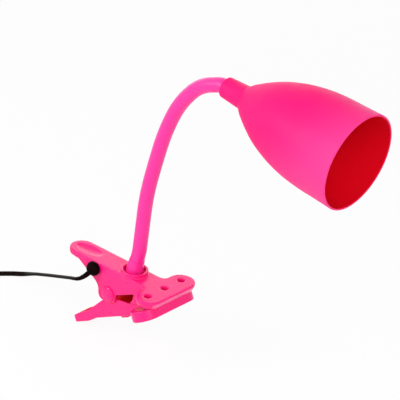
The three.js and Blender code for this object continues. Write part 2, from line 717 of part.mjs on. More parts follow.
// From the grommet down to the surface that the lower handle touches, and on to the switch.
const cordRoute = [
  [grommetX, -leverHalfWidth - 1, grommetZ], [-82.9, -21.5, -1.2], [-83.8, -26.2, -3.6],
  [-87.2, -29.7, -6.8], [-93.7, -29.4, -10.4], [-103.4, -25.9, -15], [-113.6, -21.4, -20.5],
  [-126.8, -15.7, -27.5], [-138.2, -11, -33.5], [-154.5, -4.4, -42], [-170, 1.3, -50],
  [-182.6, 6.1, -56.6], [-193.4, 9.7, -62.5], [-204.2, 12.2, -68.1], [-212.2, 12.2, -71.5],
  [-219.2, 9.2, -73.1], [-224.5, 3.8, -73.4],
  [-229.3, -2, -73.4], [-235.5, -9.8, -73.4], [-241.6, -16, -73.4], [-249.5, -20.2, -73.4],
  [-258, -20.7, -73.4], [-266, -18.6, -73.4],
].map(([x, y, z]) => new THREE.Vector3(x, y, z));
const floorZ = cordRoute.at(-1).z - cordRadius;

const lead = new THREE.CatmullRomCurve3(cordRoute, false, 'centripetal');

function grommet() {
  // heights above the wall's outer face: the flange inside, the waist through the wall, the dome outside
  const [o, i] = [gap, -leverWall - gap];
  const profile = [
    [flexRadius + 0.2, i - 1.4], [4.5, i - 1.4], [4.5, i], [3.7, i], [3.7, o], [grommetRadius - 0.8, o],
    [grommetRadius, o + 1.4], [grommetRadius, o + 2.8], [grommetRadius * 0.9, o + grommetRise * 0.55],
    [grommetRadius * 0.7, o + grommetRise * 0.76], [grommetRadius * 0.4, o + grommetRise * 0.9],
    [0, o + grommetRise * 0.95], [0, o + 2], [flexRadius + 0.2, o + 2], [flexRadius + 0.2, i - 1.4],
  ];
  const knob = turned(profile, 20).rotateX(Math.PI / 2).translate(grommetX, -leverHalfWidth, grommetZ);
  const root = drawnAlong(new Stretch(lead, 3, snoutLength * 0.6), circle(snoutRadius), 5, 5);
  const tipStretch = new Stretch(lead, snoutLength * 0.5, snoutLength);
  const tip = drawnAlong(tipStretch, circle((snoutRadius + cordRadius) / 2), 5, 5);
  return join(solid(knob), root, tip);
}

piece('cord_grommet', grommet(), blackPlastic);
const cordStretch = new Stretch(lead, snoutLength + gap, lead.getLength() - gap);
piece('cord', drawnAlong(cordStretch, circle(cordRadius), 26, 4), blackPlastic);

// The in-line switch lies on the floor, its length along the lead.
const switchGroup = new THREE.Group();
const leadEnd = cordRoute.at(-1);
const leadHeading = leadEnd.clone().sub(cordRoute.at(-2));
const switchTurn = Math.atan2(leadHeading.y, leadHeading.x);
switchGroup.rotation.z = switchTurn;
const halfSwitch = switchSize.length / 2;
const ahead = new THREE.Vector3(halfSwitch, 0, -cordRadius).applyEuler(switchGroup.rotation);
switchGroup.position.copy(leadEnd).add(ahead);
lamp.add(switchGroup);

const splitHeight = switchSize.lower;

function caseHalf(from, to) {
  const { length, width, corner } = switchSize;
  const outside = roundedBox(length, width, to - from, corner, 0, 0, from);
  const roomFoot = from === 0 ? 2 : from - 0.001;
  const inside = roundedBox(length - 12, width - 4, to - from - 2, corner - 2, 0, 0, roomFoot);
  return cut(solid(outside), inside);
}

const switchLower = caseHalf(0, splitHeight);
const [windowLength, windowWidth] = [rockerSize.length + 2 * gap, rockerSize.width + 2 * gap];
const window = box(windowLength, windowWidth, tall, 0, 0, splitHeight + tall / 2);
const rockerTop = splitHeight + switchSize.upper;
const switchUpper = cut(caseHalf(splitHeight + gap, rockerTop), window);
piece('switch_lower_case', switchLower, blackPlastic, switchGroup);
piece('switch_upper_case', switchUpper, blackPlastic, switchGroup);

const rocker = new THREE.Group();
rocker.position.set(0, 0, rockerTop - 1.5);
rocker.name = 'rocker';
switchGroup.add(rocker);
const rockerShape = new THREE.Shape();
rockerShape.moveTo(-rockerSize.length / 2 + 0.9, -rockerSize.depth);
rockerShape.lineTo(rockerSize.length / 2 - 0.9, -rockerSize.depth);
rockerShape.lineTo(rockerSize.length / 2, 1.6);
rockerShape.quadraticCurveTo(3, 2.4, 0, 2.4);
rockerShape.quadraticCurveTo(-3, 2.4, -rockerSize.length / 2, rockerSize.rise + 0.4);
rockerShape.closePath();
piece('switch_rocker', across(rockerShape, rockerSize.width / 2, 5), blackPlastic, rocker);
piece('switch_contact', box(16, 6, 1, 0, 0, 3), brass, switchGroup);

// Behind the switch the lead runs straight into its coil, and out of it again to the plug.
const coil = new THREE.Group();
switchGroup.updateMatrix();
const coilPlace = new THREE.Vector3(halfSwitch + tailLength, coilRadius, 0);
coilPlace.applyMatrix4(switchGroup.matrix);
coil.position.copy(coilPlace);
coil.rotation.z = switchTurn;
lamp.add(coil);

const coilOuter = coilRadius + coilWidth / 2;
const coilInner = coilRadius - coilWidth / 2;
const tieRoom = gap + tieThickness; // under the coil, so that its tie clears the floor
const coilTop = tieRoom + coilHeight;

function straightCord(from, to, y, z) {
  return raised(circle(cordRadius), from, to, 4).rotateY(Math.PI / 2).translate(0, y, z);
}

const coilSide = disc(coilOuter + gap, -1, coilTop + 1, 48);
const tail = straightCord(-tailLength + gap, -coilRadius / 2, -coilRadius, cordRadius);
piece('cord_tail', cut(solid(tail), coilSide), blackPlastic, coil);
const bevel = 2.5;
const coilProfile = [
  [coilInner, tieRoom + bevel], [coilInner + bevel, tieRoom], [coilOuter - bevel, tieRoom],
  [coilOuter, tieRoom + bevel], [coilOuter, coilTop - bevel], [coilOuter - bevel, coilTop],
  [coilInner + bevel, coilTop], [coilInner, coilTop - bevel], [coilInner, tieRoom + bevel],
];
piece('cord_coil', turned(coilProfile, 36), blackPlastic, coil);

const tieMiddle = tieRoom + coilHeight / 2;
const tieBox = (room, width) => (
  box(coilWidth + 2 * room, width, coilHeight + 2 * room, -coilRadius, 0, tieMiddle)
);
piece('cord_tie', cut(solid(tieBox(tieRoom, tieWidth)), tieBox(gap, tieWidth + 1)), tiePlastic, coil);

// The plug

// The plug lies flat beside the coil, its pins pointing back along +X.
const plug = new THREE.Group();
plug.position.set(coilPlace.x, coilPlace.y - coilRadius, floorZ);
lamp.add(plug);
const plugMiddle = plugBody.height / 2;
const reliefStart = coilOuter + 2;
const bodyStart = reliefStart + reliefLength;
const seatStart = bodyStart + plugBody.length - pinSeat;
const lastStretch = straightCord(coilRadius / 2, reliefStart - gap, 0, plugMiddle);
const coilSideHere = coilSide.clone().translate(0, coilRadius, 0);
piece('cord_plug_lead', cut(solid(lastStretch), coilSideHere), blackPlastic, plug);

function plugShell() {
  const [back, front, w] = [bodyStart, bodyStart + plugBody.length, plugBody.width / 2];
  const shape = polygon([
    [back, -6], [back + 14, -w + 1], [back + 20, -w], [front, -w], [front, w], [back + 20, w],
    [back + 14, w - 1], [back, 6],
  ]);
  const edge = 2.5;
  const options = { bevelThickness: edge, bevelSize: edge, bevelOffset: -edge, bevelSegments: 2 };
  const depth = plugBody.height - 2 * edge;
  const shellShape = new THREE.ExtrudeGeometry(shape, { ...options, depth }).translate(0, 0, edge);
  const relief = turned([[0, reliefStart], [3, reliefStart], [5, bodyStart + 3], [0, bodyStart + 3]], 16);
  const holes = [-1, 1].map((side) => plugPinSolid(side, plugPin.radius + gap, seatStart - gap));
  return cut(join(solid(shellShape), relief.rotateY(Math.PI / 2).translate(0, 0, plugMiddle)), ...holes);
}

function plugPinSolid(side, radius, from) {
  const to = bodyStart + plugBody.length + plugPin.length;
  const pin = disc(radius, from, to, 14).rotateY(Math.PI / 2);
  return pin.translate(0, side * plugPin.spacing / 2, plugMiddle);
}

piece('plug_body', plugShell(), blackPlastic, plug);
for (const [name, side] of [['plug_pin_a', -1], ['plug_pin_b', 1]]) {
  piece(name, plugPinSolid(side, plugPin.radius, seatStart), steel, plug);
}

export default lamp;
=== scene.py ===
import json
import math
import bpy
import numpy as np
from mathutils import Matrix, Vector


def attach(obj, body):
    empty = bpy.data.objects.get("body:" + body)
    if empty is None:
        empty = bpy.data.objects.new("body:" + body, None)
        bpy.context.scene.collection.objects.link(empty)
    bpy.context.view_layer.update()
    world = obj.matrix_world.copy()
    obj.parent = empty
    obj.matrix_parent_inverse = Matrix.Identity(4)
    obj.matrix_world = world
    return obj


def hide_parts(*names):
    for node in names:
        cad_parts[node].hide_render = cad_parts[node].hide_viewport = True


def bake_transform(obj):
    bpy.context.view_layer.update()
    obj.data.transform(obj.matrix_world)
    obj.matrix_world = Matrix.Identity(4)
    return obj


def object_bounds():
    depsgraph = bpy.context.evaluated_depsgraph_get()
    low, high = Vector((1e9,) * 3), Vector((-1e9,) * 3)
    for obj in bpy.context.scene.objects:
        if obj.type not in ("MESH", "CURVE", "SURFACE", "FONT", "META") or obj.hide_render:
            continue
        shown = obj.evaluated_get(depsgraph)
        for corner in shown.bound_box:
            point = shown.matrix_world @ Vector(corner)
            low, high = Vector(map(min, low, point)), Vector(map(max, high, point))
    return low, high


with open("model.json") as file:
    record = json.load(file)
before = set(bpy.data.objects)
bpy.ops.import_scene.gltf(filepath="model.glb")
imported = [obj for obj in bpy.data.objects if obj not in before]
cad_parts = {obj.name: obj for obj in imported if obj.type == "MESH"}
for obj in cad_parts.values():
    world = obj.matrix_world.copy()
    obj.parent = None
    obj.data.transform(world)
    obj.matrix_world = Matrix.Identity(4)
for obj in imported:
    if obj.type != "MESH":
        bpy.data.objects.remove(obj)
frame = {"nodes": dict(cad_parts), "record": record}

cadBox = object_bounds()
floorLevel = cadBox[0][2]
mm = 0.001
bodyOf = {node: body for body, nodes in frame["record"]["behaviour"]["bodies"].items() for node in nodes}


def hexColor(code):
    # sRGB hex to linear: c / 12.92 up to 0.04045, else ((c + 0.055) / 1.055) ** 2.4
    c = np.array([int(code[i:i + 2], 16) for i in (1, 3, 5)]) / 255
    linear = np.where(c <= 0.04045, c / 12.92, ((c + 0.055) / 1.055) ** 2.4)
    return (*linear.tolist(), 1.0)


def addNode(tree, kind, inputs={}, **settings):
    # an input takes a value, or the output of another node to link from
    node = tree.nodes.new("ShaderNode" + kind)
    for name, value in settings.items():
        setattr(node, name, value)
    for name, value in inputs.items():
        if isinstance(value, bpy.types.NodeSocket):
            tree.links.new(value, node.inputs[name])
        else:
            node.inputs[name].default_value = value
    return node


def addObject(name, data):
    thing = bpy.data.objects.new(name, data)
    bpy.context.scene.collection.objects.link(thing)
    return thing


def startMaterial(name):
    material = bpy.data.materials.new(name)
    material.use_nodes = True
    material.node_tree.nodes.clear()
    return material, material.node_tree


# Curves: lines are arrays of points in millimetres

def unit(v):
    # v over its length
    return v / np.linalg.norm(v, axis=-1, keepdims=True)


def ease(t):
    # 3t^2 - 2t^3: level at both ends
    t = np.clip(t, 0, 1)
    return t * t * (3 - 2 * t)


def distances(line):
    # how far along the line each point lies: the running sum of its chords
    return np.concatenate([[0], np.cumsum(np.linalg.norm(np.diff(line, axis=0), axis=1))])


def evenly(line, spacing):
    # the same line with its points an equal distance apart
    s = distances(line)
    at = np.linspace(0, s[-1], max(3, round(s[-1] / spacing) + 1))
    return np.stack([np.interp(at, s, line[:, i]) for i in range(line.shape[1])], axis=1)


def throughPoints(points, spacing, samples=40):
    # centripetal Catmull-Rom: knots lie a square root of the chord apart; the line is then spaced evenly
    p = np.array(points, float)
    p = np.vstack([2 * p[0] - p[1], p, 2 * p[-1] - p[-2]])
    knot = np.concatenate([[0], np.cumsum(np.sqrt(np.linalg.norm(np.diff(p, axis=0), axis=1)))])
    k = np.repeat(np.arange(1, len(p) - 2), samples)
    x = knot[k] + (knot[k + 1] - knot[k]) * np.tile(np.arange(samples) / samples, len(p) - 3)

    def between(a, b, i, j):
        share = ((x - knot[k + i]) / (knot[k + j] - knot[k + i]))[:, None]
        return a * (1 - share) + b * share

    a, b, c = between(p[k - 1], p[k], -1, 0), between(p[k], p[k + 1], 0, 1), between(p[k + 1], p[k + 2], 1, 2)
    d, e = between(a, b, -1, 1), between(b, c, 0, 2)
    return evenly(np.vstack([between(d, e, 0, 1), p[-2]]), spacing)


def softCorners(points, radius, closed=False, samples=4):
    # each corner becomes a short parabola between straights: (1-t)^2 a + 2t(1-t) corner + t^2 b
    p = np.array(points, float)
    count = len(p)
    t = np.linspace(0, 1, samples + 1)[:, None]
    line = [] if closed else [p[:1]]
    for i in range(count) if closed else range(1, count - 1):
        corner, before, after = p[i], p[i - 1] - p[i], p[(i + 1) % count] - p[i]
        reach = min(radius, 0.45 * np.linalg.norm(before), 0.45 * np.linalg.norm(after))
        a, b = corner + unit(before) * reach, corner + unit(after) * reach
        bend = (1 - t) ** 2 * a + 2 * t * (1 - t) * corner + t * t * b
        # one more point, a little out on each straight, keeps the flats looking flat
        line += [corner + unit(before)[None] * reach * 1.1, bend, corner + unit(after)[None] * reach * 1.1]
    return np.vstack(line if closed else line + [p[-1:]])


# Surfaces

def gridPiece(name, grid, material, wrapRows=False, sharp=50):
    # grid[i, j] is point j of ring i, in millimetres; rings close on themselves, and the ends are
    # capped unless the last ring joins the first; the sign of the volume tells which way is out
    rows, columns = grid.shape[:2]
    i, j = np.meshgrid(np.arange(rows if wrapRows else rows - 1), np.arange(columns), indexing="ij")
    here, beyond = i * columns, (i + 1) % rows * columns
    step = (j + 1) % columns
    faces = np.stack([here + j, here + step, beyond + step, beyond + j], axis=-1).reshape(-1, 4)
    points = grid.reshape(-1, 3) * mm
    a, b, c, d = (points[faces[:, n]] for n in range(4))
    inward = (a * np.cross(b, c) + a * np.cross(c, d)).sum() < 0
    polygons = (faces[:, ::-1] if inward else faces).tolist()
    if not wrapRows:
        caps = [list(range(columns))[::-1], list(range((rows - 1) * columns, rows * columns))]
        polygons += [cap[::-1] if inward else cap for cap in caps]
    mesh = bpy.data.meshes.new(name)
    mesh.from_pydata(points.tolist(), [], polygons)
    mesh.polygons.foreach_set("use_smooth", [True] * len(mesh.polygons))
    mesh.set_sharp_from_angle(angle=math.radians(sharp))
    mesh.materials.append(material)
    return addObject(name, mesh)


def turnedPiece(name, profile, material, place, sides=96, relief=None):
    # a closed profile (r, z) turned round place's Z: place @ (r cos a, r sin a, z), r + relief(r, z, a)
    profile = np.array(profile, float)
    a = np.linspace(0, 2 * np.pi, sides, endpoint=False)[None]
    r, z = profile[:, :1], profile[:, 1:]
    if relief:
        r = r + relief(r, z, a)
    local = np.stack([r * np.cos(a), r * np.sin(a), z + 0 * a], axis=-1)
    grid = local @ np.array(place.to_3x3()).T + np.array(place.translation)
    return gridPiece(name, grid, material, wrapRows=True)


def ovalSection(halfWidth, halfHeight, samples=20, power=2.5):
    # superellipse |u/a|^p + |v/b|^p = 1
    a = np.linspace(0, 2 * np.pi, samples, endpoint=False)
    c, s = np.cos(a), np.sin(a)
    u = halfWidth * np.sign(c) * np.abs(c) ** (2 / power)
    v = halfHeight * np.sign(s) * np.abs(s) ** (2 / power)
    return np.stack([u + 0 * v, v + 0 * u], axis=-1)


def carried(line, section, upward=(0, 0, 1), tilt=0.0):
    # each ring: line + u * broad + v * thin; broad is square to the line and level, turned up by tilt
    along = unit(np.gradient(line, axis=0))
    level = unit(np.cross(along, upward))
    over = np.cross(level, along)
    c, s = np.cos(tilt), np.sin(tilt)
    c, s = (np.broadcast_to(x, len(line))[:, None] for x in (c, s))
    broad, thin = c * level + s * over, c * over - s * level
    section = np.broadcast_to(section, (len(line), *section.shape[-2:]))
    return line[:, None] + section[..., :1] * broad[:, None] + section[..., 1:] * thin[:, None]


def axisPlace(origin, axis):
    # a frame in millimetres with its Z along the axis
    turn = Vector(axis).normalized().to_track_quat("Z", "Y").to_matrix().to_4x4()
    return Matrix.Translation(origin) @ turn


def standFor(piece, slotName, *nodes, body=None):
    # the piece moves with the body of the solids that it replaces
    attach(piece, body or bodyOf[nodes[0]])
    if nodes:
        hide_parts(*nodes)


def cadCopy(name, node):
    # a copy of the CAD solid, its doubled corners merged
    copy = addObject(name, frame["nodes"][node].data.copy())
    weld = copy.modifiers.new("weld", "WELD")
    weld.merge_threshold = 0.01 * mm
    return copy


def finishCopy(copy, material, sharp):
    # what the modifiers made becomes the mesh itself; edges over sharp degrees stay sharp
    mesh = bpy.data.meshes.new_from_object(copy.evaluated_get(bpy.context.evaluated_depsgraph_get()))
    copy.modifiers.clear()
    copy.data = mesh
    mesh.name = copy.name
    mesh.materials.clear()
    mesh.materials.append(material)
    mesh.polygons.foreach_set("use_smooth", [True] * len(mesh.polygons))
    mesh.set_sharp_from_angle(angle=math.radians(sharp))
    return copy


def pointsOf(piece):
    points = np.zeros(3 * len(piece.data.vertices))
    piece.data.vertices.foreach_get("co", points)
    return points.reshape(-1, 3) / mm


def mouldedCopy(name, node, material, slotName, cell, passes):
    # the CAD solid with moulded edges: rebuilt in even cells, each point then eased to its neighbours'
    # mean; what stands on the floor stays on it
    copy = cadCopy(name, node)
    cells = copy.modifiers.new("cells", "REMESH")
    cells.mode = "VOXEL"
    cells.voxel_size = cell * mm
    melt = copy.modifiers.new("melt", "SMOOTH")
    melt.factor = 0.5
    melt.iterations = passes
    finishCopy(copy, material, 180)
    points = pointsOf(copy)
    points[:, 2] = np.maximum(points[:, 2], floorLevel / mm)
    copy.data.vertices.foreach_set("co", (points * mm).ravel())
    standFor(copy, slotName, node)
    print(name, "moulded,", 2 * len(copy.data.polygons), "triangles")
    return copy


def machinedCopy(node, material, slotName, sharp=35):
    # small hardware keeps its CAD shape, with round faces shaded round and true edges kept
    copy = finishCopy(cadCopy(node + "_finished", node), material, sharp)
    standFor(copy, slotName, node)
    return copy


# The camera: a long lens two metres off, in front of the lamp, to its right and above it

view = {
    "place": (1.10391, -1.34736, 0.99625), "lens": 180, "sensor": 36, "reach": 50,
    "right": (0.75137, 0.65395, 0.08827),
    "up": (-0.35789, 0.29147, 0.88711),
    "back": (0.55440, -0.69814, 0.45304),
}


def setCamera():
    cameraData = bpy.data.cameras.new("camera")
    cameraData.lens = view["lens"]
    cameraData.sensor_width = view["sensor"]
    cameraData.clip_end = view["reach"]
    camera = addObject("camera", cameraData)
    axes = Matrix((view["right"], view["up"], view["back"])).transposed()
    camera.matrix_world = Matrix.Translation(view["place"]) @ axes.to_4x4()
    bpy.context.scene.camera = camera


setCamera()
bpy.context.scene.view_settings.view_transform = "Standard"
print("camera placed")


def mouldedPlastic(name, color, roughness, grain=0.7, depth=0.12, shine=0.5, paintedChannelShade=None, paintedReflection=None):
    # Injection-moulded plastic: one even colour, a skin with a spark-eroded grain, and slow patches
    # where the tool was polished more. grain is a spot's size in millimetres, drawn several times
    # coarser than the real 0.1 mm, which is too fine to show. Where a piece has the channel mask, its
    # channel takes a deeper red: painted shade for light passing between near walls. The last argument
    # paints a reflection: a lighter colour, a direction, and the two places along it where it comes in.
    # A mix of colours takes its share at 0 and the colours at 6 and 7, and gives the result at 2.
    material, tree = startMaterial(name)
    place = addNode(tree, "TexCoord").outputs["Object"]
    patches = addNode(tree, "TexNoise", {"Vector": place, "Scale": 1 / (14 * mm), "Detail": 2.0})
    gloss = addNode(tree, "MapRange", {
        "Value": patches.outputs[0], "From Min": 0.3, "From Max": 0.7,
        "To Min": roughness - 0.04, "To Max": roughness + 0.05,
    })
    spots = addNode(tree, "TexNoise", {"Vector": place, "Scale": 1 / (grain * mm), "Detail": 3.0})
    skin = addNode(tree, "Bump", {"Height": spots.outputs[0], "Strength": depth, "Distance": 0.05 * mm})
    level = addNode(tree, "MapRange", {"Value": patches.outputs[0], "To Min": 0.95, "To Max": 1.0})
    tint = addNode(tree, "HueSaturation", {"Color": hexColor(color), "Value": level.outputs[0]})
    # painted reflection: a lighter colour comes in along the given direction
    if paintedReflection:
        reflectionColor, direction, (start, end) = paintedReflection
        along = addNode(tree, "VectorMath", {0: place, 1: direction}, operation="DOT_PRODUCT")
        share = addNode(tree, "MapRange", {
            "Value": along.outputs["Value"], "From Min": start * mm, "From Max": end * mm,
        }, interpolation_type="SMOOTHSTEP")
        colors = {0: share.outputs[0], 6: hexColor(color), 7: hexColor(reflectionColor)}
        mixed = addNode(tree, "Mix", colors, data_type="RGBA")
        tree.links.new(mixed.outputs[2], tint.inputs["Color"])
    # painted shade: the channel's mask mixes in a deeper red
    if paintedChannelShade:
        inside = addNode(tree, "Attribute", attribute_name="paintedChannelShade")
        colors = {0: inside.outputs["Fac"], 6: tint.outputs[0], 7: hexColor(paintedChannelShade)}
        tint = addNode(tree, "Mix", colors, data_type="RGBA")
    shader = addNode(tree, "BsdfPrincipled", {
        "Base Color": tint.outputs[2 if paintedChannelShade else 0], "Roughness": gloss.outputs[0],
        "Normal": skin.outputs[0], "IOR": 1.49, "Specular IOR Level": shine,
    })
    addNode(tree, "OutputMaterial", {"Surface": shader.outputs[0]})
    return material


def metalFinish(name, color, roughness, marks=0.25):
    # Drawn or turned metal: clear reflections, broken by tool marks and a light tarnish in patches; the
    # marks are drawn a quarter of a millimetre wide, coarser than real ones, so that they show
    material, tree = startMaterial(name)
    place = addNode(tree, "TexCoord").outputs["Object"]
    lines = addNode(tree, "TexNoise", {"Vector": place, "Scale": 1 / (0.25 * mm), "Detail": 4.0})
    patches = addNode(tree, "TexNoise", {"Vector": place, "Scale": 1 / (5 * mm), "Detail": 3.0})
    dull = addNode(tree, "MapRange", {
        "Value": patches.outputs[0], "To Min": roughness, "To Max": roughness + 0.16,
    })
    skin = addNode(tree, "Bump", {"Height": lines.outputs[0], "Strength": marks, "Distance": 0.02 * mm})
    level = addNode(tree, "MapRange", {"Value": patches.outputs[0], "To Min": 0.85, "To Max": 1.0})
    tint = addNode(tree, "HueSaturation", {"Color": hexColor(color), "Value": level.outputs[0]})
    shader = addNode(tree, "BsdfPrincipled", {
        "Base Color": tint.outputs[0], "Metallic": 1.0, "Roughness": dull.outputs[0],
        "Normal": skin.outputs[0],
    })
    addNode(tree, "OutputMaterial", {"Surface": shader.outputs[0]})
    return material


# Glossy moulded polypropylene: an even, strong pink with soft highlights; painted shade, deep red, in its
# channel
paintedChannelRed = "#f20008"
clipPolypropylene = mouldedPlastic(
    "glossy pink polypropylene", "#ff1680", 0.3, shine=0.36, paintedChannelShade=paintedChannelRed,
)
# The same where the tool was polished: smoother, with a lighter pink as a painted reflection of the floor
polishedPolypropyleneWithPaintedSheen = mouldedPlastic(
    "polished pink polypropylene with painted sheen", "#ff3c90", 0.2, depth=0.05, shine=1.0, paintedChannelShade=paintedChannelRed,
)
# Satin moulded polypropylene: no clear highlight, and slowly lighter towards the shade's lower lip:
# a painted reflection of the pale floor below
shadePolypropylene = mouldedPlastic(
    "satin pink polypropylene", "#ff0476", 0.58, shine=0.22,
    paintedReflection=("#ff3a90", (0.737, 0.159, -0.657), (-75, 0)),
)
# Its inside: painted shade, deeper and redder, for the walls that light each other
paintedShadeInside = mouldedPlastic("pink polypropylene inside", "#e4001c", 0.6, shine=0.1)
# Extruded soft PVC: a silky skin with one long highlight
pinkSleeve = mouldedPlastic("pink soft PVC sleeve", "#fa2a9a", 0.34, grain=1.1, depth=0.1, shine=0.42)
# Moulded rubber: dull and grainy
roseRubber = mouldedPlastic("rose grip rubber", "#d8566e", 0.8, grain=0.5, depth=0.5, shine=0.2)
# Black PVC, extruded on the flex and moulded on the bush and the plug: nearly black, hardly any shine
# both blacks lean to red: a painted reflection of the pink parts around them
blackFlex = mouldedPlastic("black flex PVC", "#120606", 0.5, grain=0.9, depth=0.15, shine=0.04)
blackMoulding = mouldedPlastic("black moulded PVC", "#100303", 0.55, grain=0.8, depth=0.2, shine=0.03)
# Polished ABS: the rocker is the one glossy black piece
blackGloss = mouldedPlastic("black polished ABS", "#0d0c0d", 0.2, grain=0.8, depth=0.06)
# Moulded PBT and nylon: a warm and a greyish white, both a little glossy
whiteHolder = mouldedPlastic("white PBT lampholder", "#efece2", 0.42)
tieNylon = mouldedPlastic("natural nylon tie", "#d9d8d0", 0.38)
# Zinc-plated and drawn steel: cool greys, the wire a little darker
zincSteel = metalFinish("zinc-plated steel", "#b9bcc0", 0.28)
springSteel = metalFinish("spring wire", "#9a9c9f", 0.3)
# Nickel plate shines most, and turned brass is yellow
nickelPlate = metalFinish("nickel-plated brass", "#c9c6bd", 0.16, marks=0.1)
turnedBrass = metalFinish("turned brass", "#c8a050", 0.25)
print("materials ready")


# The lead: one flat twin flex from the clip to the plug, its points in the order it runs

lead = {
    # millimetres; the twist in degrees
    "width": 5.2, "thickness": 3.3, "spacing": 1.5, "reliefLength": 24, "reliefHold": 2, "switchLength": 56,
    "tailLength": 34, "coilRadius": 30, "turns": 6, "turnPitch": 3.45, "outerShare": 1.25,
    "layerHeight": 5.35, "lift": 0.9,
    "plugHeight": 7, "plugReach": 42, "twist": 63, "twistAt": 178, "twistLength": 28,
    "route": [
        (-82.6, -14.4, 1.5), (-82.9, -21.5, -1.2), (-83.8, -26.2, -3.6), (-87.2, -29.7, -6.8),
        (-93.7, -29.4, -10.4), (-103.4, -25.9, -15), (-113.6, -21.4, -20.5), (-126.8, -15.7, -27.5),
        (-138.2, -11, -33.5), (-154.5, -4.4, -42), (-170, 1.3, -50), (-182.6, 6.1, -56.6),
        (-193.4, 9.7, -62.5), (-204.2, 12.2, -68.1), (-212.2, 12.2, -71.5), (-219.2, 9.2, -73.1),
        (-224.5, 3.8, -73.4), (-229.3, -2, -73.4), (-235.5, -9.8, -73.4), (-241.6, -16, -73.4),
        (-249.5, -20.2, -73.4), (-258, -20.7, -73.4), (-266, -18.6, -73.4),
    ],
}


def leadLine():
    # down the hanging route, straight through the switch, round the coil and out to the plug
    ground = floorLevel / mm
    hanging = throughPoints(lead["route"], lead["spacing"])
    heading = unit(np.array(lead["route"][-1]) - np.array(lead["route"][-2]))
    side = np.array([-heading[1], heading[0], 0])
    switchEnd = hanging[-1] + lead["switchLength"] * heading
    radius, pitch = lead["coilRadius"], lead["turnPitch"]
    outer = radius + lead["outerShare"] * pitch
    low = lead["lift"] + lead["width"] / 2
    high = low + lead["layerHeight"]
    middle = switchEnd + lead["tailLength"] * heading + radius * side
    middle[2] = ground
    # beside the coil's middle, (ahead, aside, height): the tail swings out to the outermost turn
    t = np.linspace(0, 1, 24)[:, None]
    rest = hanging[-1][2] - ground
    swing = (outer - radius) * ease(t)
    tail = np.hstack([(t - 1) * lead["tailLength"], -radius - swing, rest + (low - rest) * ease(t)])
    # the turns: the radius falls by a pitch in each turn up to half way and then grows again, and
    # half way the lead climbs from the lower layer to the upper one; they end where it points along +X
    full = 2 * np.pi * (lead["turns"] - 1) + math.atan2(side[0], heading[0]) % (2 * np.pi)
    a = np.arange(0, full, 2 / radius)[1:-1, None]
    r = outer - pitch * np.minimum(a, full - a) / (2 * np.pi)
    climb = low + (high - low) * ease((a - full / 2) / (0.6 * np.pi) + 0.5)
    turns = np.hstack([r * np.sin(a), -r * np.cos(a), climb])
    wound = middle + np.vstack([tail, turns]) @ np.array([heading, side, [0, 0, 1]])
    # and out to the plug along +X
    fall = (lead["plugHeight"] - high) * ease(t)
    out = np.hstack([t * lead["plugReach"], -outer + swing, high + fall])
    line = evenly(np.vstack([hanging, wound, middle + out]), lead["spacing"])
    # the broad side is level at both ends and upright in the coil; where the lead hangs it also
    # turns over and back: twist * exp(-((s - twistAt) / twistLength)^2)
    s = distances(line)
    toTail = distances(hanging)[-1] + lead["switchLength"]
    upright = 90 * ease((s - toTail) / lead["tailLength"]) * ease((s[-1] - s) / lead["plugReach"])
    twist = lead["twist"] * np.exp(-((s - lead["twistAt"]) / lead["twistLength"]) ** 2)
    return line, np.radians(upright + twist), middle, heading, side


leadPath, leadTilt, coilMiddle, coilHeading, coilSide = leadLine()
free = distances(leadPath) > lead["reliefLength"] - lead["reliefHold"]
freeLine = leadPath[free]
flexSection = ovalSection(lead["width"] / 2, lead["thickness"] / 2)
leadPiece = gridPiece("lead", carried(freeLine, flexSection, tilt=leadTilt[free]), blackFlex)
standFor(leadPiece, "cord_pvc", "cord", "cord_tail", "cord_coil", "cord_plug_lead")
print("lead laid,", round(distances(freeLine)[-1]), "mm")


# The bush in the clip's wall: a round dome, and the strain relief that tapers down on to the lead

bush = {
    "x": -82.6, "z": 1.5, "wall": 13.4, "gap": 0.3, "radius": 7.7, "rise": 8.9, "brim": 2.4,
    "flange": 4.5, "flangeFrom": -3.8, "flangeTo": -2.9, "waist": 3.7, "root": 2.75, "tip": (2.8, 1.95),
}
poleRadius = 0.02  # a turned solid keeps a bore too fine to see, so that its rings close on themselves


def domeProfile():
    # the flange inside the wall and the waist through it, then a quarter ellipse over a short brim
    a = np.linspace(0, np.pi / 2, 24)
    rise = bush["rise"] - bush["brim"]
    dome = np.stack([bush["radius"] * np.cos(a), bush["brim"] + rise * np.sin(a)], axis=1)
    dome[-1, 0] = poleRadius
    flange, waist, radius = bush["flange"], bush["waist"], bush["radius"]
    start, end = bush["flangeFrom"], bush["flangeTo"]
    behind = [(poleRadius, start), (flange, start), (flange, end), (waist, end), (waist, 0)]
    return np.vstack([behind, [(radius - 0.8, 0), (radius - 0.2, 0.9)], dome])


def makeBush():
    # turned round a line square to the wall's outside
    place = axisPlace((bush["x"], -bush["wall"] - bush["gap"], bush["z"]), (0, -1, 0))
    dome = turnedPiece("cordBush", domeProfile(), blackMoulding, place, sides=64)
    standFor(dome, "black_pvc", "cord_grommet")


def makeRelief():
    # its section goes from the round root to the flat flex: (1 - share) * root + share * tip
    root = distances(leadPath) < lead["reliefLength"] + 1
    share = ease(distances(leadPath)[root] / lead["reliefLength"])[:, None, None]
    section = (1 - share) * ovalSection(bush["root"], bush["root"], power=2)
    section = section + share * ovalSection(*bush["tip"])
    grid = carried(leadPath[root], section, tilt=leadTilt[root])
    standFor(gridPiece("strainRelief", grid, blackMoulding), "black_pvc", body=bodyOf["cord_grommet"])


makeBush()
makeRelief()
print("bush and strain relief made")


# The neck: a ribbed soft sleeve over a wound steel coil, with the flex inside it

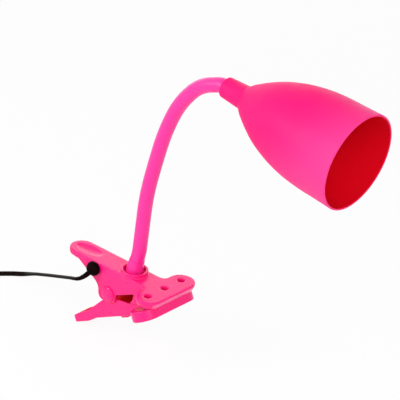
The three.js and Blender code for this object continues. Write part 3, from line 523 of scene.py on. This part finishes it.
neck = {
    "foot": (-42.3, 0, 6.1), "lean": 10.65, "start": 2.6, "end": 288.1, "bendLength": 13,
    # each arc is a length and a turn in degrees
    "arcs": [
        (26, 0), (8, -8.1), (40, 0), (40, 8.7), (40, 2.3), (40, 9.7), (40, 19.6), (26, 27.4), (8, 0),
        (9.7, 26.2), (12, 0),
    ],
    "joints": [34, 74, 114, 154, 194, 234],
    "bodies": ["clip", "neck_1", "neck_2", "neck_3", "neck_4", "neck_5", "head"],
    # the sleeve's and the coil's outer and inner radii
    "sleeve": (7.4, 5.7), "ribPitch": 2.4, "ribDepth": 0.09,
    "coil": (5.4, 3.9), "coilPitch": 1.9, "wireDepth": 0.5, "flex": 2,
}


def neckPoint(s):
    # the lean grows evenly along each arc; x and z are the running sums of its sine and cosine
    ends = np.cumsum([0] + [length for length, turn in neck["arcs"]])
    leans = np.radians(neck["lean"] + np.cumsum([0] + [turn for length, turn in neck["arcs"]]))
    fine = np.arange(0, ends[-1], 0.1)
    lean = np.interp(fine, ends, leans)
    middle = (lean[1:] + lean[:-1]) / 2
    x = neck["foot"][0] + np.concatenate([[0], np.cumsum(np.sin(middle) * 0.1)])
    z = neck["foot"][2] + np.concatenate([[0], np.cumsum(np.cos(middle) * 0.1)])
    return np.interp(s, fine, x), np.interp(s, fine, z), np.interp(s, fine, lean)


def neckPlace(s):
    # a frame on the neck's line, with its Z along the neck
    x, z, lean = (float(v) for v in neckPoint(s))
    return axisPlace((x, 0, z), (math.sin(lean), 0, math.cos(lean)))


def neckRings(s, radius, columns):
    # ring: centre(s) + r(s) * (cos a * normal(s) + sin a * Y)
    x, z, lean = (v[:, None] for v in neckPoint(s))
    a = np.linspace(0, 2 * np.pi, columns, endpoint=False)
    r = np.broadcast_to(radius, len(s))[:, None]
    out = r * np.cos(a)
    return np.stack([x + out * np.cos(lean), r * np.sin(a) + 0 * x, z - out * np.sin(lean)], axis=-1)


def neckLayer(name, node, radii, material, pitch=0.0, depth=0.0, columns=48, step=0.4):
    # one piece over each joint, from the middle of a link to the middle of the next one; its outside
    # is r - depth * (1 - cos(2 pi s / pitch)) / 2
    joints = neck["joints"]
    cuts = [neck["start"]] + [(a + b) / 2 for a, b in zip(joints, joints[1:])] + [neck["end"]]
    for k, joint in enumerate(joints):
        s = np.linspace(cuts[k], cuts[k + 1], round((cuts[k + 1] - cuts[k]) / step))
        radius = radii[0] - (depth * (0.5 - 0.5 * np.cos(2 * np.pi * s / pitch)) if pitch else 0)
        grid = neckRings(s, radius, columns)
        if radii[1]:
            grid = np.concatenate([grid, neckRings(np.linspace(cuts[k + 1], cuts[k], 16), radii[1], columns)])
        piece = gridPiece(f"{name}_{k}", grid, material, wrapRows=bool(radii[1]))
        x, z, lean = neckPoint(np.array([joint - neck["bendLength"], joint + neck["bendLength"]]))
        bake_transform(piece)
        last = [f"{node}_{k + 1}"] if joint == joints[-1] else []
        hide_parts(f"{node}_{k}", *last)


neckLayer(
    "neckSleeve", "neck_sleeve", neck["sleeve"], pinkSleeve,
    pitch=neck["ribPitch"], depth=neck["ribDepth"],
)
neckLayer(
    "neckCoil", "neck_coil", neck["coil"], springSteel,
    pitch=neck["coilPitch"], depth=neck["wireDepth"], columns=24,
)
neckLayer("neckFlex", "neck_flex", (neck["flex"], 0), blackFlex, columns=16, step=2)

# the boot's wall, as (radius, height) from its foot up the outside and back down its bore
boot = [(7.45, 0.6), (8.9, 0.6), (8.8, 6), (8.4, 12), (7.95, 17.5), (7.66, 20), (7.45, 20)]
bootProfile = softCorners(boot, 0.25, closed=True)
bootPiece = turnedPiece("neckBoot", bootProfile, pinkSleeve, neckPlace(0), sides=72)
standFor(bootPiece, "sleeve_plastic", "neck_boot")
print("neck drawn")


# The clip: two moulded levers, each a channel with a wide jaw

clip = {
    "cell": 0.6, "passes": 4, "halfWidth": 13.4, "wall": 2.4, "top": 8.8, "ceiling": 6.7, "jawRear": -12.5,
    "polishAndSheenFrom": 2.1, "polishAndSheenReach": 11, "hinge": (-62.5, 0, -20.5),
}
lower = {
    "origin": (10.1, 0, 0.5), "angle": 27.2, "halfWidth": 10.7, "jawRear": -29.4,
    # the sole's height along the lever, in its own frame
    "sole": [(-118.2, -13.7), (-104.7, -11), (-42.4, -11), (-30.4, -10.8)],
}


def markPaintedChannelShade(lever, x, y, height, halfWidth, rear, floor, ceiling):
    # 1 inside the channel, which takes the painted shade: between the walls, behind the jaw,
    # and clear of the floor or the roof
    inside = (np.abs(y) < halfWidth - clip["wall"] / 2) & (x < rear) & (height > floor) & (height < ceiling)
    attribute = lever.data.attributes.new("paintedChannelShade", "FLOAT", "POINT")
    attribute.data.foreach_set("value", inside.astype(np.float32))


def faceValues(piece, kind):
    # the normals or centres of all faces, as three arrays
    values = np.zeros(3 * len(piece.data.polygons))
    piece.data.polygons.foreach_get(kind, values)
    return values.reshape(-1, 3).T


def makeLever(name, node):
    return mouldedCopy(name, node, clipPolypropylene, "pink_plastic", clip["cell"], clip["passes"])


def makeUpperLever():
    lever = makeLever("upperLever", "upper_lever")
    # the lower part of the jaw's front edge, which slants inwards, has a polished skin and a lighter pink,
    # a painted reflection: the faces near the lip that look ahead, and neither far to the right nor
    # far up or down
    lever.data.materials.append(polishedPolypropyleneWithPaintedSheen)
    ahead, aside, upward = faceValues(lever, "normal")
    x, y, z = faceValues(lever, "center")
    edge = (x > clip["polishAndSheenReach"] * mm) & (z < (clip["top"] - clip["polishAndSheenFrom"]) * mm)
    edge &= (ahead > 0.5) & (aside > -0.5) & (upward > -0.7) & (upward < 0.3)
    lever.data.polygons.foreach_set("material_index", edge.astype(np.int32))
    # the channel gets the painted shade
    x, y, z = pointsOf(lever).T
    markPaintedChannelShade(lever, x, y, z, clip["halfWidth"], clip["jawRear"], -math.inf, clip["ceiling"])


def makeLowerLever():
    # its channel, for the painted shade, is marked in the lever's own frame: along it, across it,
    # and up from its sole
    lever = makeLever("lowerLever", "lower_lever")
    x, y, z = (pointsOf(lever) - lower["origin"]).T
    c, s = math.cos(math.radians(lower["angle"])), math.sin(math.radians(lower["angle"]))
    along, over = x * c + z * s, z * c - x * s
    height = over - np.interp(along, *np.transpose(lower["sole"]))
    markPaintedChannelShade(lever, along, y, height, lower["halfWidth"], lower["jawRear"], clip["wall"] / 2, math.inf)


makeUpperLever()
makeLowerLever()
for name, node in (("upperPad", "upper_jaw_pad"), ("lowerPad", "lower_jaw_pad")):
    mouldedCopy(name, node, roseRubber, "jaw_rubber", cell=0.4, passes=3)
print("clip made")


# The hinge: a domed cap over each end of the pin, and the torsion spring round it

cap = {
    "radius": 8.1, "bore": 2.3, "boreDepth": 2, "rise": 2.9, "brim": 1.0, "step": 1, "shoulder": 1.5,
    "gap": 0.3,
}


def hingeCap(name, node, way):
    # a flat brim, a small step, and a quarter ellipse over the middle
    a = np.linspace(0, np.pi / 2, 16)
    r = (cap["radius"] - cap["step"]) * np.cos(a)
    dome = np.stack([r, cap["shoulder"] + (cap["rise"] - cap["shoulder"]) * np.sin(a)], axis=1)
    dome[-1, 0] = poleRadius
    corners = [
        (cap["bore"], cap["boreDepth"]), (cap["bore"], 0), (cap["radius"], 0), (cap["radius"], cap["brim"]),
        dome[0],
    ]
    profile = np.vstack([softCorners(corners, 0.4), dome[1:], [(poleRadius, cap["boreDepth"])]])
    x, y, z = clip["hinge"]
    place = axisPlace((x, way * (clip["halfWidth"] + cap["gap"]), z), (0, way, 0))
    standFor(turnedPiece(name, profile, clipPolypropylene, place, sides=72), "pink_plastic", node)


hingeCap("rightCap", "hinge_cap_right", -1)
hingeCap("leftCap", "hinge_cap_left", 1)

spring = {
    "wire": 0.9, "radius": 5.2, "turns": 4, "pitch": 2.15,
    "upperTip": (-35.5, 25.7), "lowerTip": (-31.44, -43.83),
}


def springLine():
    # a helix round the hinge: (r cos a, w a / total, r sin a); each leg leaves it along the tangent that
    # reaches its tip
    (ux, uz), (lx, lz), r = spring["upperTip"], spring["lowerTip"], spring["radius"]
    upper = math.atan2(uz, ux) % (2 * np.pi) - math.acos(r / math.hypot(ux, uz))
    lowest = math.atan2(lz, lx) % (2 * np.pi) + math.acos(r / math.hypot(lx, lz)) - 2 * np.pi
    total = upper + 2 * np.pi * spring["turns"] - lowest
    width = spring["pitch"] * total / (2 * np.pi)
    a = np.linspace(0, total, 48 * spring["turns"])[:, None]
    helix = np.hstack([r * np.cos(lowest + a), width * (a / total - 0.5), r * np.sin(lowest + a)])
    share = np.linspace(1, 0, 12)[:-1, None]
    leg = helix[:1] + share * (np.array([lx, -width / 2, lz]) - helix[:1])
    arm = helix[-1:] + share[::-1] * (np.array([ux, width / 2, uz]) - helix[-1:])
    return np.array(clip["hinge"]) + np.vstack([leg, helix, arm]), width


def makeSpring():
    path, width = springLine()
    wire = ovalSection(spring["wire"], spring["wire"], samples=12, power=2)
    piece = gridPiece("torsionSpring", carried(path, wire, upward=(0, 1, 0)), springSteel)
    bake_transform(piece)
    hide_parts("torsion_spring")


makeSpring()

hardware = {
    "base_ferrule": (turnedBrass, "brass"), "base_washer": (zincSteel, "zinc_steel"),
    "base_nut": (zincSteel, "zinc_steel"), "hinge_pin": (zincSteel, "zinc_steel"),
    "top_ferrule": (turnedBrass, "brass"), "shade_locknut": (zincSteel, "zinc_steel"),
    "centre_contact": (turnedBrass, "brass"), "switch_contact": (turnedBrass, "brass"),
    "terminal_screw_a": (turnedBrass, "brass"), "terminal_screw_b": (turnedBrass, "brass"),
    "clamp_screw_a": (zincSteel, "zinc_steel"), "clamp_screw_b": (zincSteel, "zinc_steel"),
    "cord_clamp": (blackMoulding, "black_pvc"), "clip_flex": (blackFlex, "cord_pvc"),
}
for node, (material, slotName) in hardware.items():
    machinedCopy(node, material, slotName)
print("hinge, spring and small hardware made")


# The shade: a smooth bell with a rounded lip, and the lampholder in its throat

shade = {
    "length": 158.8, "wall": 2.2, "mouth": 48, "root": 11.9, "lip": 0.9, "spacing": 1.6, "sides": 160,
    "collar": 10.3, "collarLength": 24.6, "collarEdge": 2.2, "bore": 7.8, "boreDepth": 6,
    "webBore": 5.25, "web": (14, 17),
    # shares of the bell's length and of its growth in radius
    "bell": [
        (0, 0), (0.047, 0.145), (0.1, 0.275), (0.167, 0.423), (0.249, 0.58), (0.346, 0.719), (0.45, 0.833),
        (0.569, 0.92), (0.703, 0.968), (0.852, 0.982), (1, 1),
    ],
}
headPlace = neckPlace(sum(length for length, turn in neck["arcs"][:-1]))


def shadeProfile():
    # the bell springs from the collar's end at an angle, and its inside lies a wall's thickness within
    span, rise = shade["length"] - shade["collarLength"], shade["mouth"] - shade["root"]
    stations = [(shade["root"] + r * rise, shade["collarLength"] + z * span, 0) for z, r in shade["bell"]]
    bell = throughPoints(stations, shade["spacing"])[:, :2]
    slope = unit(np.gradient(bell, axis=0))
    inner = bell + shade["wall"] * np.stack([-slope[:, 1], slope[:, 0]], axis=1)
    mouth = [bell[-3], bell[-1], inner[-1] * [1, 0] + [0, bell[-1, 1]], inner[-3]]
    lip = softCorners(mouth, shade["lip"])[1:-1]
    bore, (webStart, webEnd) = shade["bore"], shade["web"]
    collar = [(bore, shade["boreDepth"]), (bore, 0), (shade["collar"], 0), bell[0]]
    collar = softCorners(collar, shade["collarEdge"])
    webBore = shade["webBore"]
    throat = [(inner[0, 0], webEnd), (webBore, webEnd), (webBore, webStart), (bore, webStart)]
    outside = len(collar) + len(bell) - 4 + len(lip) // 2
    return np.vstack([collar, bell[1:-3], lip, inner[:-3][::-1], throat]), outside


def makeShade():
    # the rings from inside the lip to the web in the throat take the inside's painted shade
    profile, outside = shadeProfile()
    piece = turnedPiece("shade", profile, shadePolypropylene, headPlace, sides=shade["sides"])
    piece.data.materials.append(paintedShadeInside)
    ring = np.arange(len(piece.data.polygons)) // shade["sides"]
    paintedInside = (ring >= outside + 2) & (ring < len(profile) - 3)
    piece.data.polygons.foreach_set("material_index", paintedInside.astype(np.int32))
    standFor(piece, "pink_plastic", "shade")


makeShade()

holder = {
    "start": 21, "length": 42, "radius": 14, "foot": 7.8, "bore": 8.4, "floor": 17,
    "threadBore": 2.9, "footBore": 5.25, "seat": 9,
    "outerFrom": 18, "outerTo": 39, "outerPitch": 2.5, "outerDepth": 0.35,
    "shell": 7.9, "shellWall": 0.6, "shellLength": 20, "shellInset": 1.5,
    "shellPitch": 2.82, "shellDepth": 0.28,
}


def threadWave(z, pitch, angle):
    # one start of a round thread: (1 - cos(2 pi z / pitch + angle)) / 2
    return 0.5 - 0.5 * np.cos(2 * np.pi * z / pitch + angle)


def holderRelief(r, z, a):
    # the ring thread outside, which fades in and out at its two ends
    h = z - holder["start"]
    within = ease((h - holder["outerFrom"]) / 2) * ease((holder["outerTo"] - h) / 2)
    within = within * (r > holder["radius"] - 0.6)
    return -holder["outerDepth"] * within * threadWave(h, holder["outerPitch"], a)


def shellRelief(r, z, a):
    return -holder["shellDepth"] * threadWave(z, holder["shellPitch"], a)


def makeHolder():
    # heights are measured from the foot, and moved up to the holder's place at the end
    full, bore, threadBore = holder["radius"], holder["bore"], holder["threadBore"]
    foot, footBore, seat = holder["foot"], holder["footBore"], holder["seat"]
    floor, end = holder["floor"], holder["length"]
    flare = [(footBore, seat), (footBore, 0), (foot, 0), (foot + 1, 6), (full - 1, 13), (full, 15)]
    wall = np.stack([np.full(70, full), np.linspace(15.5, end - 1.2, 70)], axis=1)
    mouth = [(full, end - 1), (full - 0.4, end), (bore, end), (bore, floor), (threadBore, floor)]
    profile = [softCorners(flare, 0.8), wall, softCorners(mouth, 0.5), [(threadBore, seat)]]
    profile = np.vstack(profile) + [0, holder["start"]]
    piece = turnedPiece("lampholderBody", profile, whiteHolder, headPlace, relief=holderRelief)
    standFor(piece, "holder_plastic", "lampholder_body")


def makeShell():
    end = holder["start"] + holder["length"] - holder["shellInset"]
    z = np.linspace(end - holder["shellLength"], end, 90)
    outer = np.full(90, holder["shell"])
    inner = outer - holder["shellWall"] / 2
    profile = np.vstack([np.stack([outer, z], axis=1), np.stack([inner, z[::-1]], axis=1)])
    piece = turnedPiece("lampholderShell", profile, turnedBrass, headPlace, sides=72, relief=shellRelief)
    standFor(piece, "brass", "lampholder_shell")


makeHolder()
makeShell()
print("shade and lampholder turned")


# What is on the lead: the switch, the coil's tie and the plug

mouldedCopy("switchLower", "switch_lower_case", blackMoulding, "black_plastic", cell=0.42, passes=3)
mouldedCopy("switchUpper", "switch_upper_case", blackMoulding, "black_plastic", cell=0.42, passes=3)
mouldedCopy("switchRocker", "switch_rocker", blackGloss, "black_plastic", cell=0.25, passes=3)
mouldedCopy("plugBody", "plug_body", blackMoulding, "black_pvc", cell=0.45, passes=4)

pin = {
    "radius": 2, "sleeve": 1.9, "seat": 12, "bare": 20.9, "length": 31, "tip": 1.2, "spacing": 18.6,
    "front": 96,
}


def plugPin(name, node, way):
    # a pin is bare metal in the plug and at its tip, with a black insulating sleeve between
    r, bare, length = pin["radius"], pin["bare"], pin["length"]
    corners = [(poleRadius, 0), (pin["sleeve"], 0), (pin["sleeve"], bare - 0.1), (r, bare + 0.1), (r, length)]
    profile = softCorners(corners + [(poleRadius, length)], pin["tip"], samples=6)
    aside = way * pin["spacing"] / 2 - lead["coilRadius"]
    root = coilMiddle + (pin["front"] - pin["seat"], aside, lead["plugHeight"])
    piece = turnedPiece(name, profile, nickelPlate, axisPlace(root, (1, 0, 0)), sides=40)
    piece.data.materials.append(blackMoulding)
    along = faceValues(piece, "center")[0] / mm - root[0]
    sleeved = (along > 1) & (along < bare)
    piece.data.polygons.foreach_set("material_index", sleeved.astype(np.int32))
    standFor(piece, "nickel_plate", node)


plugPin("plug_pin_a_turned", "plug_pin_a", -1)
plugPin("plug_pin_b_turned", "plug_pin_b", 1)

tie = {
    "radius": 28.2, "middle": 6.25, "halfWidth": 5.9, "halfHeight": 6.1, "corner": 3,
    "width": 3.6, "thickness": 0.54, "edge": 0.25,
}


def tieLoop():
    # a rounded rectangle round the bundle, square to the turns; each ring is the band's own section,
    # point + thickness * normal + width * along the turns
    w, h, halfBand, thick = tie["halfWidth"], tie["halfHeight"], tie["width"] / 2, tie["thickness"]
    corners = softCorners([(-w, -h), (w, -h), (w, h), (-w, h)], tie["corner"], closed=True, samples=8)
    loop = evenly(np.vstack([corners, corners[:1]]), 0.5)[:-1]
    forward = np.roll(loop, -1, axis=0) - np.roll(loop, 1, axis=0)
    normal = unit(np.stack([forward[:, 1], -forward[:, 0]], axis=1))[:, None]
    band = [(-halfBand, 0), (halfBand, 0), (halfBand, thick), (-halfBand, thick)]
    band = softCorners(band, tie["edge"], closed=True)
    flat = loop[:, None] + band[None, :, 1:] * normal
    centre = coilMiddle + (0, 0, tie["middle"]) - tie["radius"] * coilHeading
    across = centre - flat[..., :1] * coilHeading + flat[..., 1:] * np.array([0, 0, 1])
    return across + band[None, :, :1] * coilSide


tiePiece = gridPiece("coilTie", tieLoop(), tieNylon, wrapRows=True)
standFor(tiePiece, "tie_plastic", "cord_tie")

print("lead's pieces made")


# A pale floor, and plain soft light: a key beside the camera, a box on the left, and white behind

studio = {
    "floorSize": 8, "floorPaint": "#f2f2f2", "floorWhite": 0.92, "world": 0.38, "roof": 0.12,
    "roofFrom": 0.56, "roofTo": 0.8,
    "lamps": {
        # right, up and back from the object's middle; distance; width and height; watts
        "key": ((0.4, 0.05, 1), 1.4, (1.0, 1.0), 9.5),
        "left box": ((-0.72, 0.3, 0.5), 1.2, (0.7, 0.7), 9.0),
        "ceiling": ((-0.1, 1, 0.25), 1.5, (1.5, 1.5), 4.0),
        "white wall": ((0, 0.45, -0.8), 1.8, (3.2, 1.6), 22.0),
    },
}


def seenWhite(tree):
    # 1 for rays from the camera and from metal or gloss, which see plain white, and 0 for the others
    rays = addNode(tree, "LightPath").outputs
    first = addNode(tree, "Math", {0: rays["Is Camera Ray"], 1: rays["Is Glossy Ray"]}, operation="ADD")
    both = {0: first.outputs[0], 1: rays["Is Transmission Ray"]}
    return addNode(tree, "Math", both, operation="ADD", use_clamp=True).outputs[0]


def layFloor():
    # painted pale where light falls on it, and nearly plain white where it is looked at
    material, tree = startMaterial("pale floor")
    share = addNode(tree, "Math", {0: seenWhite(tree), 1: studio["floorWhite"]}, operation="MULTIPLY")
    paint = addNode(tree, "BsdfDiffuse", {"Color": hexColor(studio["floorPaint"])})
    white = addNode(tree, "Emission", {"Color": (1, 1, 1, 1), "Strength": 1.0})
    shader = addNode(tree, "MixShader", {0: share.outputs[0], 1: paint.outputs[0], 2: white.outputs[0]})
    addNode(tree, "OutputMaterial", {"Surface": shader.outputs[0]})
    size = studio["floorSize"]
    corners = [(x * size, y * size, floorLevel) for x, y in ((-1, -1), (1, -1), (1, 1), (-1, 1))]
    mesh = bpy.data.meshes.new("floor")
    mesh.from_pydata(corners, [], [(0, 1, 2, 3)])
    mesh.materials.append(material)
    addObject("floor", mesh)


def hangSky():
    # white to the eye and to gloss up to 34 degrees above the horizon, and a dim roof over that; a mix
    # of plain values takes them at 2 and 3
    world = bpy.data.worlds.new("studio")
    bpy.context.scene.world = world
    world.use_nodes = True
    tree = world.node_tree
    tree.nodes.clear()
    white = seenWhite(tree)
    height = addNode(tree, "SeparateXYZ", {0: addNode(tree, "TexCoord").outputs["Object"]})
    seen = addNode(tree, "MapRange", {
        "Value": height.outputs["Z"], "From Min": studio["roofFrom"], "From Max": studio["roofTo"],
        "To Min": 1.0, "To Max": studio["roof"],
    }, interpolation_type="SMOOTHSTEP")
    level = addNode(tree, "Mix", {0: white, 2: studio["world"], 3: seen.outputs[0]})
    sky = addNode(tree, "Background", {"Color": (1, 1, 1, 1), "Strength": level.outputs[0]})
    addNode(tree, "OutputWorld", {"Surface": sky.outputs[0]})


def hangLamps():
    middle = (Vector(cadBox[0]) + Vector(cadBox[1])) / 2
    right, up, back = (Vector(view[key]) for key in ("right", "up", "back"))
    for name, ((r, u, b), distance, (width, height), watts) in studio["lamps"].items():
        lamp = bpy.data.lights.new(name, "AREA")
        lamp.shape = "RECTANGLE"
        lamp.size, lamp.size_y = width, height
        lamp.energy = watts
        box = addObject(name, lamp)
        box.visible_camera = False
        direction = (right * r + up * u + back * b).normalized()
        turn = direction.to_track_quat("Z", "Y").to_matrix().to_4x4()
        box.matrix_world = Matrix.Translation(middle + direction * distance) @ turn


layFloor()
hangSky()
hangLamps()
print("studio lit")
